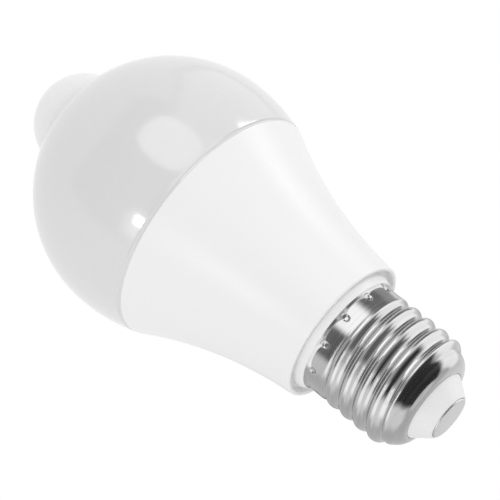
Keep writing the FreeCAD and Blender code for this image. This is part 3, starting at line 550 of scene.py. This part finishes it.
def shell_rises():
    """Heights of the outer face's rows, from the mouth to the rim."""
    shoulder_top = SHELL_END + SHOULDER_ROUND
    rises = []
    for degrees in range(SHOULDER_TURN_START, SHOULDER_TURN_END, SHOULDER_TURN_STEP):
        rises.append(shoulder_top + SHOULDER_ROUND * math.sin(math.radians(degrees)))
    start = shoulder_top + SHOULDER_ROUND * math.sin(math.radians(SHOULDER_TURN_END))
    for low, high, height in ((start, RIM_ROWS_START, SHELL_ROW), (RIM_ROWS_START, SKIRT_END, RIM_ROW)):
        rises += spaced(low, high, round((high - low) / height))[:-1]
    return rises + [SKIRT_END]


def screw_shell_mesh():
    angles = shell_columns()
    rings = [[shell_point(rise, angle) for angle in angles] for rise in shell_rises()]
    edge = []
    for x, y, z in rings[-1]:
        radius = math.hypot(x, y)
        scale = (radius - SHEET / 2) / radius
        edge.append((x * scale, y * scale, z + RIM_CROWN))
    rings.append(edge)
    for rise in spaced(SKIRT_END, SHELL_END + SHEET, SHELL_INNER_ROWS):
        ring = []
        for angle in angles:
            radius = shell_radius(max(rise, SHELL_END + MOUTH_MARGIN), angle) - SHEET
            ring.append(ring_point(max(radius, MOUTH_RADIUS), math.radians(angle), rise))
        rings.append(ring)
    mouth_rise = SHELL_END + SHEET / 2
    rings.append([ring_point(MOUTH_RADIUS, math.radians(angle), mouth_rise) for angle in angles])
    return surface_mesh("screw_shell_metal", rings)


# Materials

def start_material(name):
    """An empty finish: one shader on the surface."""
    material = bpy.data.materials.new(name)
    material.use_nodes = True
    nodes = material.node_tree.nodes
    nodes.clear()
    output = nodes.new("ShaderNodeOutputMaterial")
    shader = nodes.new("ShaderNodeBsdfPrincipled")
    material.node_tree.links.new(shader.outputs["BSDF"], output.inputs["Surface"])
    return material, nodes, material.node_tree.links, shader


def noise(nodes, links, scale, stretch=(1, 1, 1)):
    """Grain in the piece's own coordinates, finer along an axis with a larger stretch."""
    coordinates = nodes.new("ShaderNodeTexCoord")
    mapping = nodes.new("ShaderNodeMapping")
    mapping.inputs["Scale"].default_value = stretch
    texture = nodes.new("ShaderNodeTexNoise")
    texture.inputs["Scale"].default_value = scale
    texture.inputs["Detail"].default_value = NOISE_DETAIL
    links.new(coordinates.outputs["Object"], mapping.inputs["Vector"])
    links.new(mapping.outputs["Vector"], texture.inputs["Vector"])
    return texture


def between(nodes, links, texture, low, high):
    """A number that follows a texture between two ends."""
    spread = nodes.new("ShaderNodeMapRange")
    spread.inputs["From Min"].default_value = NOISE_LOW
    spread.inputs["From Max"].default_value = NOISE_HIGH
    spread.inputs["To Min"].default_value = low
    spread.inputs["To Max"].default_value = high
    links.new(texture.outputs["Fac"], spread.inputs["Value"])
    return spread.outputs["Result"]


def tinted(nodes, links, texture, dark, light):
    """A colour that follows a texture between two ends."""
    ramp = nodes.new("ShaderNodeValToRGB")
    ramp.color_ramp.elements[0].position = NOISE_LOW
    ramp.color_ramp.elements[1].position = NOISE_HIGH
    ramp.color_ramp.elements[0].color = (*dark, 1)
    ramp.color_ramp.elements[1].color = (*light, 1)
    links.new(texture.outputs["Fac"], ramp.inputs["Fac"])
    return ramp.outputs["Color"]


def roughened(nodes, links, shader, texture, distance):
    """Relief that follows a texture."""
    bump = nodes.new("ShaderNodeBump")
    bump.inputs["Strength"].default_value = GRAIN_RELIEF
    bump.inputs["Distance"].default_value = distance * MM
    links.new(texture.outputs["Fac"], bump.inputs["Height"])
    links.new(bump.outputs["Normal"], shader.inputs["Normal"])


def grained(name, colour, roughness, metallic=0.0, grain=900.0, contrast=0.03, bump=0.02,
            stretch=(1, 1, 1), spread=0.05, **extra):
    """A moulded, painted or plated finish with a fine grain in its colour, gloss and relief."""
    material, nodes, links, shader = start_material(name)
    texture = noise(nodes, links, grain, stretch)
    dark = [channel * (1 - contrast) for channel in colour]
    light = [min(channel * (1 + contrast), 1.0) for channel in colour]
    links.new(tinted(nodes, links, texture, dark, light), shader.inputs["Base Color"])
    gloss = between(nodes, links, texture, roughness - spread, roughness + spread)
    links.new(gloss, shader.inputs["Roughness"])
    roughened(nodes, links, shader, texture, bump)
    shader.inputs["Metallic"].default_value = metallic
    for socket, value in extra.items():
        shader.inputs[socket.replace("_", " ")].default_value = value
    return material


def grey(level):
    return (level, level, level)


MATERIALS = {
    "housing_white": grained("housing_white", grey(0.9), 0.36, grain=2600, contrast=0.01, bump=0.006,
                             Specular_IOR_Level=0.2),
    "diffuser_milk": grained("diffuser_milk", grey(0.73), 0.1, grain=700, contrast=0.008, bump=0.001,
                             spread=0.03, Specular_IOR_Level=0.9),
    "dome_milk": grained("dome_milk", grey(0.87), 0.2, grain=700, contrast=0.01, bump=0.001),
    "cap_nickel": grained("cap_nickel", grey(0.47), 0.15, 1.0, grain=60, contrast=0.06, bump=0.012,
                          stretch=(1, 1, 34)),
    "insulator_white": grained("insulator_white", grey(0.84), 0.4, grain=2200, contrast=0.015, bump=0.01),
    "contact_metal": grained("contact_metal", grey(0.58), 0.4, 1.0, grain=1800, contrast=0.06, bump=0.006),
    "sheet_aluminium": grained("sheet_aluminium", (0.62, 0.63, 0.65), 0.34, 1.0, grain=1200,
                               stretch=(1, 1, 12)),
    "led_board_white": grained("led_board_white", (0.84, 0.85, 0.84), 0.42, contrast=0.02),
    "led_phosphor": grained("led_phosphor", (0.88, 0.74, 0.22), 0.3, grain=4000, contrast=0.08),
    "screw_steel": grained("screw_steel", (0.55, 0.55, 0.56), 0.3, 1.0, grain=3000),
    "post_white": grained("post_white", (0.83, 0.83, 0.81), 0.45, bump=0.01),
    "circuit_green": grained("circuit_green", (0.03, 0.22, 0.09), 0.38, grain=1500, contrast=0.25),
    "sensor_steel": grained("sensor_steel", (0.66, 0.65, 0.62), 0.22, 1.0, grain=2200),
    "window_dark": grained("window_dark", (0.05, 0.045, 0.05), 0.12, grain=2000, contrast=0.2),
    "clear_resin": grained("clear_resin", (0.85, 0.87, 0.9), 0.06, grain=1200, contrast=0.02,
                           Transmission_Weight=0.8, IOR=1.5),
    "chip_black": grained("chip_black", (0.02, 0.02, 0.022), 0.5, grain=5000, contrast=0.3),
    "ferrite": grained("ferrite", (0.045, 0.045, 0.05), 0.55, grain=3500, contrast=0.3, bump=0.03),
    "winding_tape": grained("winding_tape", (0.8, 0.62, 0.12), 0.28, grain=500, contrast=0.08,
                            stretch=(1, 1, 14)),
    "capacitor_sleeve": grained("capacitor_sleeve", (0.05, 0.06, 0.12), 0.3, contrast=0.2),
    "film_brown": grained("film_brown", (0.34, 0.1, 0.045), 0.3, grain=1400, contrast=0.15, bump=0.03),
    "resistor_grey": grained("resistor_grey", (0.3, 0.36, 0.38), 0.5, grain=2500, contrast=0.12),
    "connector_white": grained("connector_white", (0.82, 0.8, 0.74), 0.45),
    "wire_live": grained("wire_live", (0.5, 0.03, 0.025), 0.4, grain=1600, contrast=0.06),
    "wire_neutral": grained("wire_neutral", (0.03, 0.03, 0.035), 0.4, grain=1600, contrast=0.12),
    "lead_white": grained("lead_white", (0.8, 0.8, 0.8), 0.4, grain=1600),
}


def dress_inner_nodes(outer):
    """Give every node that stays as it is the finish of its slot."""
    for part in frame["record"]["subparts"]:
        if part["node"] in outer:
            continue
        for holder in frame["nodes"][part["node"]].material_slots:
            holder.material = MATERIALS[part["material_slot"]]


TURNED = {
    "housing": ("housing_moulding", housing_outline, LATHE_COLUMNS, "housing_white"),
    "diffuser": ("globe_diffuser", diffuser_outline, LATHE_COLUMNS, "diffuser_milk"),
    "sensor_dome": ("dome_lens", dome_outline, SMALL_LATHE_COLUMNS, "dome_milk"),
    "cap_insulator": ("insulator_cone", insulator_outline, SMALL_LATHE_COLUMNS, "insulator_white"),
    "centre_contact": ("contact_rivet", contact_outline, SMALL_LATHE_COLUMNS, "contact_metal"),
}
for node, (piece_name, outline_of, columns, slot_name) in TURNED.items():
    piece_mesh = turned_mesh(piece_name, outline_of(), columns)
    new_piece(piece_name, piece_mesh, node, MATERIALS[slot_name])
new_piece("rolled_shell", screw_shell_mesh(), "screw_shell", MATERIALS["cap_nickel"])
dress_inner_nodes([*TURNED, "screw_shell"])


# Floor, backdrop light and cards

def direction(azimuth, elevation):
    """Unit direction; azimuth is counted from -Y towards +X."""
    turn = math.radians(azimuth)
    lift = math.radians(elevation)
    return Vector((math.sin(turn) * math.cos(lift), -math.cos(turn) * math.cos(lift), math.sin(lift)))


def glow_material(name, level, soft_across, soft_up):
    """Light that fades out towards the card's edges, over shares of its width and height."""
    material = bpy.data.materials.new(name)
    material.use_nodes = True
    nodes = material.node_tree.nodes
    links = material.node_tree.links
    nodes.clear()
    coordinates = nodes.new("ShaderNodeUVMap")
    coordinates.uv_map = "Span"
    parted = nodes.new("ShaderNodeSeparateXYZ")
    links.new(coordinates.outputs["UV"], parted.inputs["Vector"])
    cover = nodes.new("ShaderNodeMath")
    cover.operation = "MULTIPLY"
    for index, soft in enumerate((soft_across, soft_up)):
        inwards = nodes.new("ShaderNodeMath")
        inwards.operation = "PINGPONG"
        inwards.inputs[1].default_value = 0.5
        links.new(parted.outputs[index], inwards.inputs[0])
        fade = nodes.new("ShaderNodeMapRange")
        fade.interpolation_type = "SMOOTHSTEP"
        fade.inputs["From Max"].default_value = soft
        links.new(inwards.outputs[0], fade.inputs["Value"])
        links.new(fade.outputs["Result"], cover.inputs[index])
    clear = nodes.new("ShaderNodeBsdfTransparent")
    glow = nodes.new("ShaderNodeEmission")
    glow.inputs["Color"].default_value = (1, 1, 1, 1)
    glow.inputs["Strength"].default_value = level
    mixed = nodes.new("ShaderNodeMixShader")
    links.new(cover.outputs[0], mixed.inputs["Fac"])
    links.new(clear.outputs["BSDF"], mixed.inputs[1])
    links.new(glow.outputs["Emission"], mixed.inputs[2])
    output = nodes.new("ShaderNodeOutputMaterial")
    links.new(mixed.outputs["Shader"], output.inputs["Surface"])
    return material


def card(name, azimuths, elevations, level, soft, distance, centre, round_card=False,
         upper_azimuths=None, right_elevations=None):
    """A curved panel that only gloss sees, given by the angles that it spans about a point of the axis.

    A slanted panel has other azimuths at its upper edge or other elevations at its right edge.
    """
    upper_azimuths = upper_azimuths or azimuths
    right_elevations = right_elevations or elevations
    points = []
    spans = []
    middle = Vector((0, 0, centre))
    for row in range(CARD_ROWS + 1):
        for column in range(CARD_COLUMNS + 1):
            across = column / CARD_COLUMNS
            up = row / CARD_ROWS
            spans.append((across, up))
            if round_card:
                side, lift = 2 * across - 1, 2 * up - 1
                across = (side * math.sqrt(1 - lift * lift / 2) + 1) / 2
                up = (lift * math.sqrt(1 - side * side / 2) + 1) / 2
            left = azimuths[0] + (upper_azimuths[0] - azimuths[0]) * up
            right = azimuths[1] + (upper_azimuths[1] - azimuths[1]) * up
            low = elevations[0] + (right_elevations[0] - elevations[0]) * across
            high = elevations[1] + (right_elevations[1] - elevations[1]) * across
            towards = direction(left + (right - left) * across, low + (high - low) * up)
            points.append((middle + towards * distance) * MM)
    faces = []
    above = CARD_COLUMNS + 1
    for row in range(CARD_ROWS):
        for column in range(CARD_COLUMNS):
            corner = row * above + column
            faces.append((corner, corner + 1, corner + above + 1, corner + above))
    mesh = bpy.data.meshes.new(name)
    mesh.from_pydata(points, [], faces)
    layer = mesh.uv_layers.new(name="Span")
    for loop in mesh.loops:
        layer.data[loop.index].uv = spans[loop.vertex_index]
    soft_across = soft[0] / (azimuths[1] - azimuths[0])
    soft_up = soft[1] / (elevations[1] - elevations[0])
    mesh.materials.append(glow_material(name, level, soft_across, soft_up))
    item = bpy.data.objects.new(name, mesh)
    bpy.context.collection.objects.link(item)
    item.visible_camera = False
    item.visible_diffuse = False
    item.visible_transmission = False
    item.visible_shadow = False


def build_floor():
    mesh = bpy.data.meshes.new("floor")
    half = FLOOR_HALF * MM
    rise = FLOOR_RISE * MM
    corners = [(-half, -half, rise), (half, -half, rise), (half, half, rise), (-half, half, rise)]
    mesh.from_pydata(corners, [], [(0, 1, 2, 3)])
    material, nodes, links, shader = start_material("floor_paper")
    texture = noise(nodes, links, FLOOR_GRAIN)
    paper = tinted(nodes, links, texture, grey(FLOOR_DARK), grey(FLOOR_LIGHT))
    links.new(paper, shader.inputs["Base Color"])
    shader.inputs["Roughness"].default_value = FLOOR_ROUGHNESS
    mesh.materials.append(material)
    floor = bpy.data.objects.new("floor", mesh)
    bpy.context.collection.objects.link(floor)


def build_world():
    """Plain white to the camera, gloss and clear resin; a gentle fade with height to everything else."""
    world = bpy.data.worlds.new("studio")
    bpy.context.scene.world = world
    world.use_nodes = True
    nodes = world.node_tree.nodes
    links = world.node_tree.links
    nodes.clear()
    path = nodes.new("ShaderNodeLightPath")
    seen = nodes.new("ShaderNodeMath")
    seen.operation = "MAXIMUM"
    links.new(path.outputs["Is Camera Ray"], seen.inputs[0])
    links.new(path.outputs["Is Glossy Ray"], seen.inputs[1])
    shown = nodes.new("ShaderNodeMath")
    shown.operation = "MAXIMUM"
    links.new(seen.outputs[0], shown.inputs[0])
    links.new(path.outputs["Is Transmission Ray"], shown.inputs[1])
    strength = nodes.new("ShaderNodeMapRange")
    coordinates = nodes.new("ShaderNodeTexCoord")
    parted = nodes.new("ShaderNodeSeparateXYZ")
    links.new(coordinates.outputs["Generated"], parted.inputs["Vector"])
    rise = nodes.new("ShaderNodeMapRange")
    rise.interpolation_type = "SMOOTHSTEP"
    rise.inputs["From Min"].default_value = SKY_FADE_START
    rise.inputs["From Max"].default_value = SKY_FADE_END
    rise.inputs["To Min"].default_value = SKY_LOW_LEVEL
    rise.inputs["To Max"].default_value = SKY_HIGH_LEVEL
    links.new(parted.outputs["Z"], rise.inputs["Value"])
    links.new(rise.outputs["Result"], strength.inputs["To Min"])
    strength.inputs["To Max"].default_value = 1.0
    links.new(shown.outputs[0], strength.inputs["Value"])
    background = nodes.new("ShaderNodeBackground")
    background.inputs["Color"].default_value = (1, 1, 1, 1)
    links.new(strength.outputs["Result"], background.inputs["Strength"])
    output = nodes.new("ShaderNodeOutputWorld")
    links.new(background.outputs["Background"], output.inputs["Surface"])


def soft_light(name, azimuth, elevation, radius, distance, level, centre):
    """A round lamp that faces the object and that gloss doesn't see; level is its radiance."""
    lamp = bpy.data.lights.new(name, "AREA")
    lamp.shape = "DISK"
    lamp.size = 2 * radius * MM
    lamp.energy = level * math.pi * math.pi * (radius * MM) ** 2
    item = bpy.data.objects.new(name, lamp)
    bpy.context.collection.objects.link(item)
    towards = direction(azimuth, elevation)
    item.location = (Vector((0, 0, centre)) + towards * distance) * MM
    item.rotation_euler = towards.to_track_quat("Z", "Y").to_euler()
    item.visible_camera = False
    item.visible_glossy = False


def globe_card(name, azimuths, elevations, level, soft, distance=GLOBE_CARD_DISTANCE, **shape):
    card(name, azimuths, elevations, level, soft, distance, GLOBE_CENTRE, **shape)


def cap_card(name, azimuths, elevations, level, soft, distance=CAP_CARD_DISTANCE, centre=CAP_CENTRE):
    card(name, azimuths, elevations, level, soft, distance, centre)


build_floor()
build_world()
soft_light("side_light", azimuth=100, elevation=30, radius=300, distance=600, level=0.7, centre=60)
soft_light("low_light", azimuth=-15, elevation=-50, radius=160, distance=500, level=0.45, centre=30)

# What the globe's gloss sees: azimuths, elevations, level, softness of the edges, distance
globe_card("key_card", (8, 52), (-13, 31), 2.2, (6, 6), round_card=True)
globe_card("left_lamp", (-38, -28), (-24, -2), 17, (3, 3))
globe_card("left_lamp_glow", (-56, -22), (-24, 8), 2.2, (15, 14), 705)
globe_card("right_lamp", (80, 105), (-20, 2), 9, (7, 4))
globe_card("front_panel", (-59, 62), (-34, 56), 0.62, (10, 11), 760)
globe_card("right_panel", (40, 131), (-34, 22), 1.15, (6, 5), 720)
globe_card("right_panel_top", (27, 131), (12, 43), 1.15, (5, 5), 722,
           upper_azimuths=(107, 126), right_elevations=(12, 34))
globe_card("right_panel_edge", (35, 137), (-34, 26), 0.8, (6, 5), 740)
globe_card("right_panel_top_edge", (20, 137), (12, 49), 0.8, (6, 5), 742,
           upper_azimuths=(104, 132), right_elevations=(12, 40))

# What the cap's gloss sees, in the same order
cap_card("cap_left_flag", (-62, 8), (8, 38), 0.18, (14, 8))
cap_card("cap_right_flag", (48, 108), (2, 38), 0.22, (16, 8), 79)
cap_card("cap_side_flag", (80, 136), (3, 38), 0.45, (14, 8))
cap_card("cap_key", (-5, 57), (8, 38), 1.85, (12, 8), 78)
cap_card("cap_left_screen", (-50, 10), (-5, 16), 0.6, (8, 8), 84)
cap_card("cap_left_shine", (-90, -36), (-38, 8), 1.75, (20, 9), 82)
cap_card("cap_dark", (-40, 67), (-53, -3), 0.04, (16, 8), 18, CAP_TIP_CENTRE)
cap_card("cap_low_front", (-24, 86), (-74, -17), 0.22, (18, 14), 81)
cap_card("cap_lamp_screen", (-50, -16), (-34, 8), 1.4, (6, 6), 88)
cap_card("cap_right_glow", (60, 140), (-50, 26), 1.6, (12, 10), 82)
cap_card("cap_left_glow", (-118, -36), (-68, -6), 1.2, (26, 18), 83)
cap_card("cap_left_shade", (-178, -84), (-62, 44), 0.76, (14, 14), 92)
cap_card("cap_far_left", (-190, -136), (4, 40), 0.2, (20, 10))
cap_card("cap_far_right", (138, 182), (-10, 40), 0.65, (12, 14))
cap_card("low_panel", (-180, 180), (-89, -68), 1.0, (1, 6), 110)


def build_camera():
    forward = Vector(CAMERA_FORWARD).normalized()
    right = forward.cross(Vector(CAMERA_UP)).normalized()
    up = right.cross(forward)
    lens = bpy.data.cameras.new("photo_camera")
    lens.sensor_fit = "HORIZONTAL"
    lens.sensor_width = SENSOR_WIDTH
    lens.lens = SENSOR_WIDTH * FOCAL_PIXELS / PHOTO_WIDTH
    lens.clip_start = CAMERA_NEAR * MM
    camera = bpy.data.objects.new("photo_camera", lens)
    bpy.context.collection.objects.link(camera)
    place = Vector(CAMERA_PLACE) * MM
    camera.matrix_world = Matrix((
        (right.x, up.x, -forward.x, place.x),
        (right.y, up.y, -forward.y, place.y),
        (right.z, up.z, -forward.z, place.z),
        (0, 0, 0, 1),
    ))
    bpy.context.scene.camera = camera


build_camera()
bpy.context.scene.view_settings.view_transform = "Standard"
